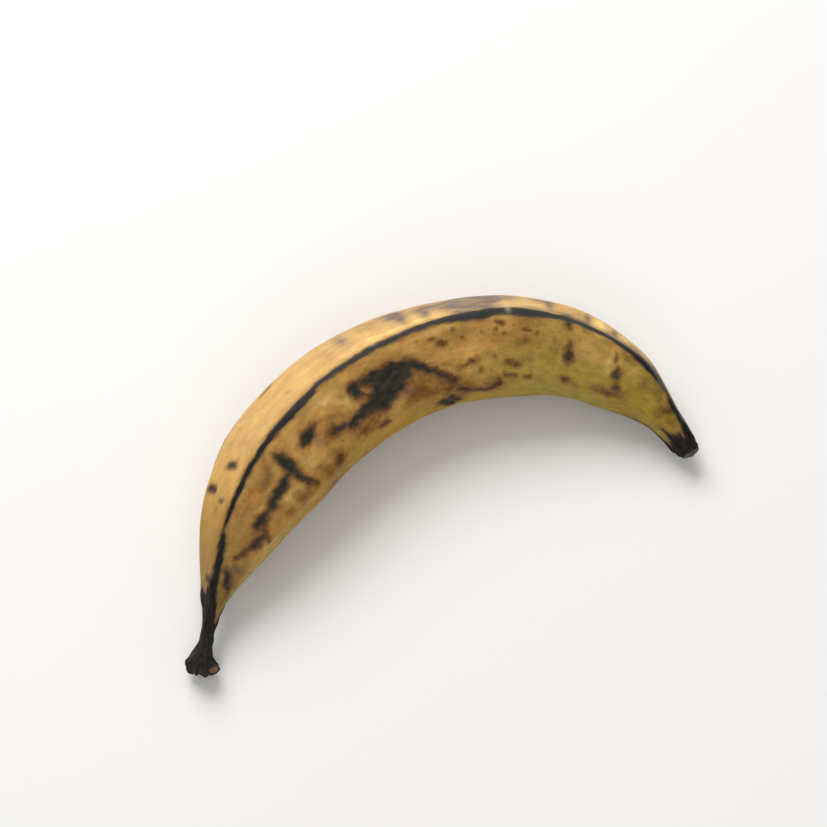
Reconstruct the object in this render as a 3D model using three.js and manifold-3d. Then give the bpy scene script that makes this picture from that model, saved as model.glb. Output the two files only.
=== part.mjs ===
// A ripe plantain, picked and lying on its side.
//
// Millimetres and degrees. +Z is up, +X runs from the torn foot of the stem to the blossom end, and the
// outer, convex side of the arch faces +Y. The origin is the middle of the underside of the bounding box.
//
// The fruit grew as one piece, so it is one solid: a five-sided section, soft at its corners, is carried
// along an arched centreline, from the torn foot through the thin stem, the belly and the blunt nub.

import * as THREE from 'three';
import { mergeVertices } from 'three/addons/utils/BufferGeometryUtils.js';
import Module from 'manifold-3d';

// ---------------------------------------------------------------------------------------------------
// Driving dimensions
// ---------------------------------------------------------------------------------------------------

// Each pair below is [distance along the centreline from the foot, value there].
const LENGTH = 314;
const HEADING = [
  [0, 66], [28, 55], [52, 45.6], [74, 41.2], [114, 24], [152, 9], [186, -7.5], [230, -30], [248, -43],
  [282, -68], [LENGTH, -84],
];
const THICKNESS = [
  [0, 9], [1.2, 12.4], [3, 13.2], [5, 11.8], [7.5, 9.2], [10.5, 7.2], [14.5, 5.9], [19, 5.8], [28, 8.7], [44, 19], [60, 31],
  [74, 39.2], [94, 46.5], [115, 47.4], [149, 46.8], [186, 43.8], [217, 42.6], [242, 37.7], [262, 32.2],
  [273, 27.9], [284, 20.4], [295, 14.7], [305, 12], [310, 11], [LENGTH, 8.4],
];
const TWIST = [[0, -9], [58, -7], [98, -1], [148, -2], [203, -5], [253, -4], [283, -12], [LENGTH, -14]];

// The stem droops out of the arch's plane, down to the surface.
const DROOP = [[0, -8.45], [32, -4.4], [64, -0.9], [94, 0], [LENGTH, 0]];

// Angle of each ridge round the section, from the outer side of the arch towards the upper side.
const RIDGE_ANGLES = [0, 77, 152, 211, 287];
const RIDGE_REACHES = [1, 1.02, 1, 0.98, 1.02];
const CORNER_SHARPNESS = 9;
const RIDGE_BEAD_HEIGHT = 0.4;
const RIDGE_BEAD_START = 60;

// The stem dried flat, so it is deeper across the arch's plane than in it.
const DEPTH_RATIO = [[0, 1.12], [8, 1.18], [20, 1.4], [58, 1.03], [88, 1], [LENGTH, 1]];

// The foot is where the stem was torn from its bunch: it flares, first to the outer side, with a ragged rim.
const FOOT_END = 14;
const FOOT_BIAS = [[0, 0.02], [3, 0.08], [7, 0.3], [11, 0.18], [15, 0], [LENGTH, 0]];
const FOOT_RAGGEDNESS = 0.1;
const FOOT_HOLLOW = 1.6;

// The blossom end closes with a low corky cap.
const CAP_HEIGHT = 1.2;

// At rest the arch leans until the belly, the foot and the blossom end all touch the surface.
const REST_TILT = 8.36;
const REST_ROLL = 1.62;
const FLAT_DEPTH = 0.35;

const SECTION_STEPS_PER_FACE = 8;
const BODY_ROWS = 56;
const FOOT_ROW_STATIONS = [0, 1.2, 2.5, 3.8, 5, 6.5, 8, 10, 12, 14.5, 17, 20];
const NUB_ROW_STATIONS = [301, 304, 307, 310, 312, LENGTH];

const PEEL_COLOUR = 0xb98a3a;

const RADIANS = Math.PI / 180;

// ---------------------------------------------------------------------------------------------------
// Smooth values along the fruit
// ---------------------------------------------------------------------------------------------------

// The value at a station on a smooth curve through the pairs.
function along(pairs, station) {
  const last = pairs.length - 1;
  let k = 0;
  while (k < last - 1 && station > pairs[k + 1][0]) k += 1;
  const slope = (i) => {
    const [s0, v0] = pairs[Math.max(i - 1, 0)];
    const [s1, v1] = pairs[Math.min(i + 1, last)];
    return (v1 - v0) / (s1 - s0);
  };
  const [startStation, startValue] = pairs[k];
  const [endStation, endValue] = pairs[k + 1];
  const span = endStation - startStation;
  const t = (station - startStation) / span;
  const startWeight = (1 + 2 * t) * (1 - t) ** 2;
  const startSlopeWeight = t * (1 - t) ** 2 * span;
  const endSlopeWeight = t * t * (t - 1) * span;
  return startValue * startWeight + endValue * (1 - startWeight)
    + slope(k) * startSlopeWeight + slope(k + 1) * endSlopeWeight;
}

// 0 before the first edge, 1 past the second, smooth between.
function ramp(first, second, value) {
  const t = THREE.MathUtils.clamp((value - first) / (second - first), 0, 1);
  return t * t * (3 - 2 * t);
}

// The centreline, walked in short steps: its place in the arch's plane at a station.
function centrelinePoint(station) {
  const steps = Math.max(1, Math.ceil(station));
  const step = station / steps;
  const point = new THREE.Vector2();
  for (let i = 0; i < steps; i += 1) {
    const heading = along(HEADING, (i + 0.5) * step) * RADIANS;
    point.x += Math.cos(heading) * step;
    point.y += Math.sin(heading) * step;
  }
  return point;
}

// ---------------------------------------------------------------------------------------------------
// The section
// ---------------------------------------------------------------------------------------------------

// The flat faces between neighbouring ridges, each as the angle of its normal and its distance.
function sectionFaces() {
  return RIDGE_ANGLES.map((angle, i) => {
    const next = (i + 1) % RIDGE_ANGLES.length;
    const a = new THREE.Vector2(RIDGE_REACHES[i], 0).rotateAround(new THREE.Vector2(), angle * RADIANS);
    const b = new THREE.Vector2(RIDGE_REACHES[next], 0)
      .rotateAround(new THREE.Vector2(), RIDGE_ANGLES[next] * RADIANS);
    const normal = new THREE.Vector2(b.y - a.y, a.x - b.x).normalize();
    return { angle: normal.angle(), distance: normal.dot(a) };
  });
}

const faces = sectionFaces();

// Radius of the soft-cornered section at an angle, before it is scaled to its thickness.
function softRadius(angle) {
  let sum = 0;
  for (const face of faces) {
    sum += Math.max(0, Math.cos(angle - face.angle) / face.distance) ** CORNER_SHARPNESS;
  }
  return sum ** (-1 / CORNER_SHARPNESS);
}

const MEAN_SAMPLES = 360;
const meanSoftRadius = Array.from({ length: MEAN_SAMPLES }, (_, i) => softRadius(i * RADIANS))
  .reduce((sum, radius) => sum + radius, 0) / MEAN_SAMPLES;

// Angles of the section's vertices: one on each ridge, and the rest closer together towards the ridges.
function sectionAngles() {
  const crowding = 0.07;
  const angles = [];
  RIDGE_ANGLES.forEach((start, i) => {
    const end = i + 1 < RIDGE_ANGLES.length ? RIDGE_ANGLES[i + 1] : 360 + RIDGE_ANGLES[0];
    for (let k = 0; k < SECTION_STEPS_PER_FACE; k += 1) {
      const t = k / SECTION_STEPS_PER_FACE;
      const eased = t - crowding * Math.sin(2 * Math.PI * t);
      angles.push({ angle: (start + (end - start) * eased) * RADIANS, onRidge: k === 0 });
    }
  });
  return angles;
}

// One ring of vertices across the fruit, in the arch's own frame: x and y in its plane, z across it.
function sectionRing(station) {
  const centre = centrelinePoint(station);
  const heading = along(HEADING, station) * RADIANS;
  const outward = new THREE.Vector2(-Math.sin(heading), Math.cos(heading));
  const radius = along(THICKNESS, station) / 2;
  const twist = along(TWIST, station) * RADIANS;
  const droop = along(DROOP, station);
  const footness = 1 - ramp(FOOT_END / 2, FOOT_END, station);
  const footBias = along(FOOT_BIAS, station);
  const beadHeight = RIDGE_BEAD_HEIGHT * ramp(RIDGE_BEAD_START / 2, RIDGE_BEAD_START, station);

  return sectionAngles().map(({ angle, onRidge }) => {
    const ragged = Math.cos(3 * angle + 1) * 0.6 + Math.cos(5 * angle + 2.4) * 0.4;
    const flare = 1 + footBias * Math.cos(angle) + footness * FOOT_RAGGEDNESS * ragged;
    const bead = onRidge ? beadHeight : 0;
    const reach = radius * flare * softRadius(angle) / meanSoftRadius + bead;
    const out = reach * Math.cos(angle + twist);
    const up = reach * Math.sin(angle + twist) * along(DEPTH_RATIO, station) + droop;
    return new THREE.Vector3(centre.x + outward.x * out, centre.y + outward.y * out, up);
  });
}

// ---------------------------------------------------------------------------------------------------
// The fruit
// ---------------------------------------------------------------------------------------------------

// A closed skin over the rings, with a fan to a middle point at each end.
function closedSkin(rings, startPoint, endPoint) {
  const around = rings[0].length;
  const vertices = rings.flat();
  const startIndex = vertices.push(startPoint) - 1;
  const endIndex = vertices.push(endPoint) - 1;
  const lastRing = (rings.length - 1) * around;
  const triangles = [];
  for (let k = 0; k < around; k += 1) {
    const next = (k + 1) % around;
    for (let r = 0; r < rings.length - 1; r += 1) {
      const row = r * around;
      const nextRow = row + around;
      triangles.push(row + k, row + next, nextRow + k);
      triangles.push(row + next, nextRow + next, nextRow + k);
    }
    triangles.push(startIndex, next, k);
    triangles.push(endIndex, lastRing + k, lastRing + next);
  }
  const geometry = new THREE.BufferGeometry().setFromPoints(vertices);
  geometry.setIndex(triangles);
  return geometry;
}

// Middle of an end ring, moved along the centreline by an offset.
function endPoint(station, offset) {
  const centre = centrelinePoint(station);
  const heading = along(HEADING, station) * RADIANS;
  const inPlane = centre.add(new THREE.Vector2(Math.cos(heading), Math.sin(heading)).multiplyScalar(offset));
  return new THREE.Vector3(inPlane.x, inPlane.y, along(DROOP, station));
}

function fruitGeometry() {
  const bodyStart = FOOT_ROW_STATIONS.at(-1);
  const bodyEnd = NUB_ROW_STATIONS[0];
  const bodyStations = Array.from(
    { length: BODY_ROWS - 1 },
    (_, i) => bodyStart + (bodyEnd - bodyStart) * (i + 1) / BODY_ROWS,
  );
  const stations = [...FOOT_ROW_STATIONS, ...bodyStations, ...NUB_ROW_STATIONS];
  const rings = stations.map(sectionRing);
  return closedSkin(rings, endPoint(0, FOOT_HOLLOW), endPoint(LENGTH, CAP_HEIGHT));
}

// Leaned into its rest pose, sunk by the depth of its flats and centred over the origin.
function laidDown(geometry) {
  geometry.rotateX(REST_TILT * RADIANS);
  geometry.rotateY(REST_ROLL * RADIANS);
  geometry.computeBoundingBox();
  const { min, max } = geometry.boundingBox;
  return geometry.translate(-(min.x + max.x) / 2, -(min.y + max.y) / 2, -min.z - FLAT_DEPTH);
}

// ---------------------------------------------------------------------------------------------------
// Cutting the flats with manifold-3d
// ---------------------------------------------------------------------------------------------------

const wasm = await Module();
wasm.setup();

function solidFrom(geometry) {
  const bare = geometry.clone();
  bare.deleteAttribute('normal');
  bare.deleteAttribute('uv');
  const merged = mergeVertices(bare);
  return new wasm.Manifold(new wasm.Mesh({
    numProp: 3,
    vertProperties: Float32Array.from(merged.attributes.position.array),
    triVerts: Uint32Array.from(merged.index.array),
  }));
}

function geometryFrom(solid) {
  const mesh = solid.getMesh();
  const geometry = new THREE.BufferGeometry();
  geometry.setAttribute('position', new THREE.BufferAttribute(mesh.vertProperties, 3));
  geometry.setIndex(new THREE.BufferAttribute(mesh.triVerts, 1));
  geometry.computeVertexNormals();
  return geometry;
}

// Everything below the surface is taken off, which leaves a small flat at each of the three low points.
function flattenedBelow(geometry) {
  const groundDepth = 20;
  const ground = new THREE.BoxGeometry(2 * LENGTH, 2 * LENGTH, groundDepth).translate(0, 0, -groundDepth / 2);
  return geometryFrom(solidFrom(geometry).subtract(solidFrom(ground)));
}

// ---------------------------------------------------------------------------------------------------
// The part
// ---------------------------------------------------------------------------------------------------

const plantain = new THREE.Mesh(
  flattenedBelow(laidDown(fruitGeometry())),
  new THREE.MeshStandardMaterial({ color: PEEL_COLOUR, roughness: 0.5, metalness: 0 }),
);
plantain.name = 'plantain';

const part = new THREE.Group();
part.add(plantain);

export default part;
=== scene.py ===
# %% [markdown]
# # A ripe plantain, lying on its side
#
# A plantain is one grown piece: the torn foot where it left its bunch, a thin dry stem, a long arched
# belly with five blunt ridges, and the dried end where the blossom was. A ripe one is golden, with black
# lines along its ridges and bruises on its faces.
#
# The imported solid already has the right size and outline, so it fixes the frame. Here it gets a skin
# about ten times finer, from the same measurements, so that ridges, wrinkles and the torn foot are real
# shape. Its colours then follow the skin, because every mark is placed in the fruit's own coordinates:
# millimetres along it from the foot, and degrees round it.

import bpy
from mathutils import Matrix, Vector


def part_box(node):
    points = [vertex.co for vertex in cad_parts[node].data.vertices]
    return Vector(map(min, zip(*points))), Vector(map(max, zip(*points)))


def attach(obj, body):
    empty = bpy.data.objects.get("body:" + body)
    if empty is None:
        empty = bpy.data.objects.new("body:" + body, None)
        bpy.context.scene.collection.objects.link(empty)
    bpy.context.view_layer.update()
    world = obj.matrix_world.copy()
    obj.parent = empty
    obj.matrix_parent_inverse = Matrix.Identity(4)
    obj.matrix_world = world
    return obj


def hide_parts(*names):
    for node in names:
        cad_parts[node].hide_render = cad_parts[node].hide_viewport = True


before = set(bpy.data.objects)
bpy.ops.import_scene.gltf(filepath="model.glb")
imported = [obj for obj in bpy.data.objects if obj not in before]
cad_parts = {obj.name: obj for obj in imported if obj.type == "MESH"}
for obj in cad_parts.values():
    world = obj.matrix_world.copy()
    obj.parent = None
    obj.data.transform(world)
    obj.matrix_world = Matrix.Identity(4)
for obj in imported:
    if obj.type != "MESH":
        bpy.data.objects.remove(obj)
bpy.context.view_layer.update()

# %% What the rest of the lesson uses
import math

import bpy
import numpy as np
from mathutils import Vector

MM = 0.001
scene = bpy.context.scene
print("Blender", bpy.app.version_string)

# %% [markdown]
# ## Camera
#
# The fruit lies on a table and is looked at from high up, a little from the left. A long lens keeps the
# arch from swelling towards the viewer, as a close wide one would.
#
# A camera could be aimed with a Track To constraint. A direction worked out from two angles is plainer,
# and the same helper then places the lamps.

# %% Camera
LOOKED_AT = Vector((9.7, 8.3, 30.3)) * MM
CAMERA_AZIMUTH = -24
CAMERA_ELEVATION = 65.5
CAMERA_DISTANCE = 1.1
CAMERA_LENS_MM = 111.35


def direction(azimuth, elevation):
    """Unit vector from the fruit outward: azimuth 0 stands at -Y, and elevation 90 is overhead."""
    a = math.radians(azimuth)
    e = math.radians(elevation)
    return Vector((math.sin(a) * math.cos(e), -math.cos(a) * math.cos(e), math.sin(e)))


def place_facing(thing, target, azimuth, elevation, distance):
    """Stand a camera or lamp at a distance from the target, looking at it."""
    away = direction(azimuth, elevation)
    thing.location = target + away * distance
    thing.rotation_euler = away.to_track_quat("Z", "Y").to_euler()


camera = bpy.data.objects.new("camera", bpy.data.cameras.new("camera"))
scene.collection.objects.link(camera)
camera.data.lens = CAMERA_LENS_MM
camera.data.sensor_width = 36
camera.data.clip_start = 0.01
place_facing(camera, LOOKED_AT, CAMERA_AZIMUTH, CAMERA_ELEVATION, CAMERA_DISTANCE)
scene.camera = camera
print("camera stands at", [round(v, 3) for v in camera.location])

# %% [markdown]
# ## Light and floor
#
# The light is one large soft window high behind the fruit, so that its outer flank glows and the flat
# upper side stays a step darker. The pale floor and a weak grey sky fill the shadows.
#
# Colours here should come out as they are set, so the view transform is Standard and not a film-like one.

# %% Lamps and sky
def window_light(name, azimuth, elevation, distance, size, watts, colour):
    lamp = bpy.data.lights.new(name, "AREA")
    lamp.shape = "DISK"
    lamp.size = size
    lamp.energy = watts
    lamp.color = colour
    holder = bpy.data.objects.new(name, lamp)
    scene.collection.objects.link(holder)
    place_facing(holder, LOOKED_AT, azimuth, elevation, distance)
    print(name, "lights the fruit with", watts, "W from", distance, "m")


DAYLIGHT = (1, 0.985, 0.96)
window_light("window", azimuth=180, elevation=47, distance=1.7, size=1.4, watts=28, colour=DAYLIGHT)
window_light("reflector", azimuth=-24, elevation=38, distance=2, size=1.6, watts=9, colour=DAYLIGHT)

SKY_COLOUR = (1, 0.985, 0.965, 1)
SKY_STRENGTH = 0.44
world = bpy.data.worlds.new("grey sky")
world.use_nodes = True
sky = world.node_tree.nodes["Background"].inputs
sky["Color"].default_value = SKY_COLOUR
sky["Strength"].default_value = SKY_STRENGTH
scene.world = world
scene.view_settings.view_transform = "Standard"

# %% Floor
FLOOR_CORNERS = [(-4, -4, 0), (4, -4, 0), (4, 4, 0), (-4, 4, 0)]
FLOOR_GREY = (0.82, 0.82, 0.82, 1)


def new_material(name):
    material = bpy.data.materials.new(name)
    material.use_nodes = True
    return material, material.node_tree, material.node_tree.nodes["Principled BSDF"].inputs


floor_mesh = bpy.data.meshes.new("floor")
floor_mesh.from_pydata(FLOOR_CORNERS, [], [(0, 1, 2, 3)])
floor = bpy.data.objects.new("floor", floor_mesh)
scene.collection.objects.link(floor)
floor_paint, _, floor_finish = new_material("pale floor")
floor_finish["Base Color"].default_value = FLOOR_GREY
floor_finish["Roughness"].default_value = 0.9
floor_mesh.materials.append(floor_paint)
print("floor corners at", FLOOR_CORNERS, "m")

# %% [markdown]
# ## Measurements along the fruit
#
# A plantain changes smoothly from foot to blossom end. Its heading, thickness and twist are given at a
# few stations, in millimetres along the centreline, and a smooth curve runs through them. A Bezier curve
# with a bevel would be quicker, but then a mark could not be placed by its station and angle.

# %% Smooth values between a few measurements
LENGTH = 314
HEADING = [
    (0, 66), (28, 55), (52, 45.6), (74, 41.2), (114, 24), (152, 9), (186, -7.5), (230, -30), (248, -43),
    (282, -68), (LENGTH, -84),
]
THICKNESS = [
    (0, 9), (1.2, 12.4), (3, 13.2), (5, 11.8), (7.5, 9.2), (10.5, 7.2), (14.5, 5.9), (19, 5.8), (28, 8.7),
    (44, 19), (60, 31), (74, 39.2), (94, 46.5), (115, 47.4), (149, 46.8), (186, 43.8), (217, 42.6),
    (242, 37.7), (262, 32.2), (273, 27.9), (284, 20.4), (295, 14.7), (305, 12), (310, 11), (LENGTH, 8.4),
]
TWIST = [(0, -9), (58, -7), (98, -1), (148, -2), (203, -5), (253, -4), (283, -12), (LENGTH, -14)]
DROOP = [(0, -8.45), (32, -4.4), (64, -0.9), (94, 0), (LENGTH, 0)]
DEPTH_RATIO = [(0, 1.12), (8, 1.18), (20, 1.4), (58, 1.03), (88, 1), (LENGTH, 1)]


def along(pairs, station):
    """The value at each station on a smooth curve through (station, value) pairs."""
    stations, values = np.array(pairs, float).T
    last = len(pairs) - 1
    index = np.arange(last + 1)
    before = np.maximum(index - 1, 0)
    after = np.minimum(index + 1, last)
    slopes = (values[after] - values[before]) / (stations[after] - stations[before])
    k = np.clip(np.searchsorted(stations, station, side="right") - 1, 0, last - 1)
    span = stations[k + 1] - stations[k]
    t = (station - stations[k]) / span
    start_weight = (1 + 2 * t) * (1 - t) ** 2
    bend = slopes[k] * t * (1 - t) ** 2 * span + slopes[k + 1] * t * t * (t - 1) * span
    return values[k] * start_weight + values[k + 1] * (1 - start_weight) + bend


def ramp(first, second, value):
    """0 before the first edge, 1 past the second, smooth between."""
    t = np.clip((value - first) / (second - first), 0, 1)
    return t * t * (3 - 2 * t)


print("thickness at mid length:", round(float(along(THICKNESS, LENGTH / 2)), 1), "mm")

# %% [markdown]
# ## The five-sided section
#
# Cut across, a plantain is a pentagon with soft corners, blunter than a banana's. Rounding a polygon with
# a bevel leaves straight sides and round corners that meet in a line. A power mean of the distances to
# its sides has no such line: a high power gives sharp corners, a low one gives a circle.

# %% Section
RIDGE_ANGLES = np.array([0, 77, 152, 211, 287])
RIDGE_REACHES = np.array([1, 1.02, 1, 0.98, 1.02])
CORNER_SHARPNESS = 9
TYPICAL_RADIUS = 24

ridge_turns = np.radians(RIDGE_ANGLES)
corners = (RIDGE_REACHES * np.array([np.cos(ridge_turns), np.sin(ridge_turns)])).T
sides = np.roll(corners, -1, axis=0) - corners
side_normals = np.stack([sides[:, 1], -sides[:, 0]], axis=1)
side_normals /= np.linalg.norm(side_normals, axis=1, keepdims=True)
side_distances = (side_normals * corners).sum(axis=1)
side_angles = np.arctan2(side_normals[:, 1], side_normals[:, 0])


def soft_radius(turn):
    """Distance to the rounded section in a direction, about 1."""
    nearness = np.maximum(0, np.cos(turn[..., None] - side_angles) / side_distances)
    return (nearness ** CORNER_SHARPNESS).sum(axis=-1) ** (-1 / CORNER_SHARPNESS)


mean_soft_radius = soft_radius(np.linspace(0, 2 * np.pi, 360, endpoint=False)).mean()
ridge_height = TYPICAL_RADIUS * (soft_radius(ridge_turns).max() / mean_soft_radius - 1)
print("ridges stand", round(float(ridge_height), 1), "mm above a round section")

# %% [markdown]
# ## From fruit coordinates to space
#
# Each point of the skin has a station and an angle. The centreline is walked in small steps that follow
# the heading, and the section stands across it. The foot flares, most towards the outer side, where the
# stem was torn from its bunch.

# %% Centreline and skin
FOOT_END = 14
FOOT_BIAS = [(0, 0.02), (3, 0.08), (7, 0.3), (11, 0.18), (15, 0), (LENGTH, 0)]
FOOT_RAGGEDNESS = 0.1
WALK_STEP = 0.1

walk = np.arange(0, LENGTH + WALK_STEP / 2, WALK_STEP)
walk_heading = np.radians(along(HEADING, walk + WALK_STEP / 2))
walk_x = np.concatenate([[0], np.cumsum(np.cos(walk_heading) * WALK_STEP)[:-1]])
walk_y = np.concatenate([[0], np.cumsum(np.sin(walk_heading) * WALK_STEP)[:-1]])


def reach_at(station, turn):
    """Distance from the centreline to the smooth skin, in millimetres."""
    footness = 1 - ramp(FOOT_END / 2, FOOT_END, station)
    ragged = np.cos(3 * turn + 1) * 0.6 + np.cos(5 * turn + 2.4) * 0.4
    flare = 1 + along(FOOT_BIAS, station) * np.cos(turn) + footness * FOOT_RAGGEDNESS * ragged
    return along(THICKNESS, station) / 2 * flare * soft_radius(turn) / mean_soft_radius


def point_at(station, turn, reach, push=0):
    """Point at a reach from the centreline, in the arch's own frame; push moves it along the centreline."""
    heading = np.radians(along(HEADING, station))
    twisted = turn + np.radians(along(TWIST, station))
    outward = reach * np.cos(twisted)
    upward = reach * np.sin(twisted) * along(DEPTH_RATIO, station) + along(DROOP, station)
    x = np.interp(station, walk, walk_x) - np.sin(heading) * outward + np.cos(heading) * push
    y = np.interp(station, walk, walk_y) + np.cos(heading) * outward + np.sin(heading) * push
    return np.stack([x, y, upward + 0 * x], axis=-1)


span_mm = math.hypot(walk_x[-1], walk_y[-1])
print("centreline:", LENGTH, "mm long, its ends", round(span_mm), "mm apart")

# %% [markdown]
# ## A fine grid of skin
#
# The skin is a grid of rows across the fruit and columns along it. Rows are closer together at the foot
# and the blossom end, where there is most to see. Past the first and last ring, the rows go on inwards
# and close the two ends.

# %% Rows and columns
COLUMNS = 208
CAP_ROWS = 10
BODY_ROWS = 330
END_ROWS = 34
FOOT_ROW_STEP = 0.36
BODY_FROM = 20
BODY_TO = 300
SEAM_TURN = np.radians(250)

foot_stations = np.arange(0, BODY_FROM, FOOT_ROW_STEP)
body_stations = np.linspace(BODY_FROM, BODY_TO, BODY_ROWS, endpoint=False)
end_stations = np.linspace(BODY_TO, LENGTH, END_ROWS)
ring_stations = np.concatenate([foot_stations, body_stations, end_stations])
cap_shares = np.arange(1, CAP_ROWS + 1) / (CAP_ROWS + 1)

row_station = np.concatenate([np.zeros(CAP_ROWS), ring_stations, np.full(CAP_ROWS, LENGTH)])
row_share = np.concatenate([cap_shares, np.ones(len(ring_stations)), cap_shares[::-1]])
row_end = np.concatenate([np.full(CAP_ROWS, -1), np.zeros(len(ring_stations)), np.full(CAP_ROWS, 1)])
column_turn = SEAM_TURN + np.arange(COLUMNS) * 2 * np.pi / COLUMNS

station = np.repeat(row_station, COLUMNS)
share = np.repeat(row_share, COLUMNS)
end_side = np.repeat(row_end, COLUMNS)
turn = np.tile(column_turn, len(row_station))
smooth_reach = reach_at(station, turn)
smooth_points = point_at(station, turn, smooth_reach * share)
print("skin grid:", len(row_station), "rows of", COLUMNS, "points")

# %% [markdown]
# ## Marks on the peel
#
# A ripe peel carries black bruises, dark brown flecks and scars, and faint brown stains. Painting an
# image would tie them to one resolution. Here each mark is a short stroke through a few points of the
# fruit, each with its half width in millimetres. The skin then stores how deep every point lies inside
# the nearest stroke, and the material later turns that depth into a ragged edge with noise.
#
# A chain of round strokes looks drawn with a felt pen. So the points are first moved a little by slow
# waves, which bends every outline, and only then measured against the strokes.

# %% Seeded waves
def waves(points, wavelength, seed, stretch=1, count=26):
    """Smooth lumps of about unit height; stretch lengthens them along the fruit."""
    throw = np.random.default_rng(seed)
    directions = throw.normal(size=(count, 3))
    directions /= np.linalg.norm(directions, axis=1, keepdims=True)
    directions[:, 0] /= stretch
    phases = throw.uniform(0, 2 * np.pi, count)
    heights = np.cos(2 * np.pi / wavelength * points @ directions.T + phases)
    return heights.sum(axis=1) * math.sqrt(2 / count)


straight_y = smooth_reach * share * np.cos(turn)
straight_z = smooth_reach * share * np.sin(turn)
straight = np.stack([station, straight_y, straight_z], axis=1)


def lumps(height, wavelength, seed, stretch=1):
    """Waves over the fruit's straightened coordinates, of about a given height."""
    return height * waves(straight, wavelength, seed, stretch)


tallest = float(np.abs(lumps(1, 40, seed=1)).max())
print("waves stand", round(tallest, 1), "times their typical height at most")

# %% Black bruises: station mm, angle deg, half width mm
BLACK_STROKES = {
    "great bruise, body": [
        (144, 127.5, 3.4), (150, 123, 4.8), (155, 119, 5.9), (160, 115, 5.2), (164, 110, 3.2),
    ],
    "great bruise, lower edge": [(143, 134, 1.2), (147.5, 135, 1.9), (153, 132, 1.6)],
    "great bruise, crest": [(142.5, 101.5, 1.1), (147, 104, 2.4), (152, 107, 3.6), (158, 108.5, 4)],
    "great bruise, trail": [(143, 127.5, 2.8), (137, 128, 2.4), (131, 129.5, 2), (127, 130.5, 1.4)],
    "great bruise, tail": [
        (165, 108, 2.1), (168.5, 113.5, 1.8), (172, 121, 1.6), (176, 129, 1.5), (180, 136, 1.3),
        (183.5, 141.5, 0.9), (186, 146, 0.5),
    ],
    "round bruise": [(138, 102, 2.8), (138.3, 106, 2.7)],
    "before the trail": [(118.5, 124, 0.8), (121, 124.5, 1.3), (124.5, 126, 1.2)],
    "oval bruise": [(104.5, 108, 1.3), (107, 107, 2.3), (110, 105.5, 2.1), (112.5, 103.5, 1.2)],
    "scar": [
        (92.5, 94, 1), (93, 99, 1.9), (93, 105, 2.5), (92.8, 112, 2.6), (92.4, 119, 2.1), (92, 126, 1.5),
        (92.4, 133, 1.2), (93.8, 140, 1),
    ],
    "long streak": [
        (74, 125, 1.5), (77, 123.5, 2), (81, 122, 2.4), (85, 120.5, 2.3), (88.5, 117.5, 1.2),
        (90.5, 116, 0.9),
    ],
    "blotch below the streak": [(63.5, 123, 1.4), (66.5, 125, 2.5), (69.5, 125.5, 1.2), (72, 125, 0.8)],
    "dash": [(56, 138, 0.9), (58.5, 140, 1.1), (60, 141.5, 0.8)],
    "bar by the stem": [(41.8, 113, 1), (40.2, 120, 1.5), (38, 129, 1.5), (36, 138, 1.3), (35, 144, 0.8)],
    # The stem shadow stroke is a painted shadow beside the stem, drawn in bruise black.
    "stem shadow": [(37.5, 52, 0.9), (37, 66, 1.2)],
    "teardrop": [(241.2, 102, 0.3), (241.7, 110, 0.5), (242.4, 116, 1.4), (242.6, 120, 1.8)],
    "bean": [(266.2, 111, 0.5), (266.6, 116, 1.3), (267.1, 122, 1.1)],
    "hook, start": [(188, 157.5, 0.6), (191, 160.5, 0.8), (194, 163, 0.3)],
    "hook, end": [(203, 169, 0.5), (206, 164, 0.4), (208.5, 157, 0.6)],
    "speck under the bean": [(270, 138, 1)],
    "patch inside the arch, near band": [
        (177.5, 168, 1.3), (179.5, 177, 2.8), (182.5, 186, 3.2), (184, 194, 2.2),
    ],
    "patch inside the arch, far band": [(182, 166, 1.2), (184.5, 177, 2), (187.5, 188, 1)],
    "dot on the shoulder": [(82, 39, 1), (82.3, 45, 1.5), (82.3, 52, 1.3), (81.8, 57, 0.7)],
    "dot lower on the shoulder": [(73, 12, 1.4), (72.6, 20, 1.4), (71.8, 27, 0.9)],
    "blot near the end": [(294, 76, 1.8), (294.5, 81, 1.1)],
    "blot on the end": [(307, 120, 0.9), (306.5, 131, 1.7), (305.5, 143, 1.3)],
    "tick of the ridge line": [(239, 79, 1.2), (239.2, 82, 0.8)],
    "edge of the far flank": [(270, 66, 1), (276, 60, 2), (283, 54, 2.8), (292, 49, 3.1), (302, 46, 3.1)],
}
print(len(BLACK_STROKES), "black strokes")

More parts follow.
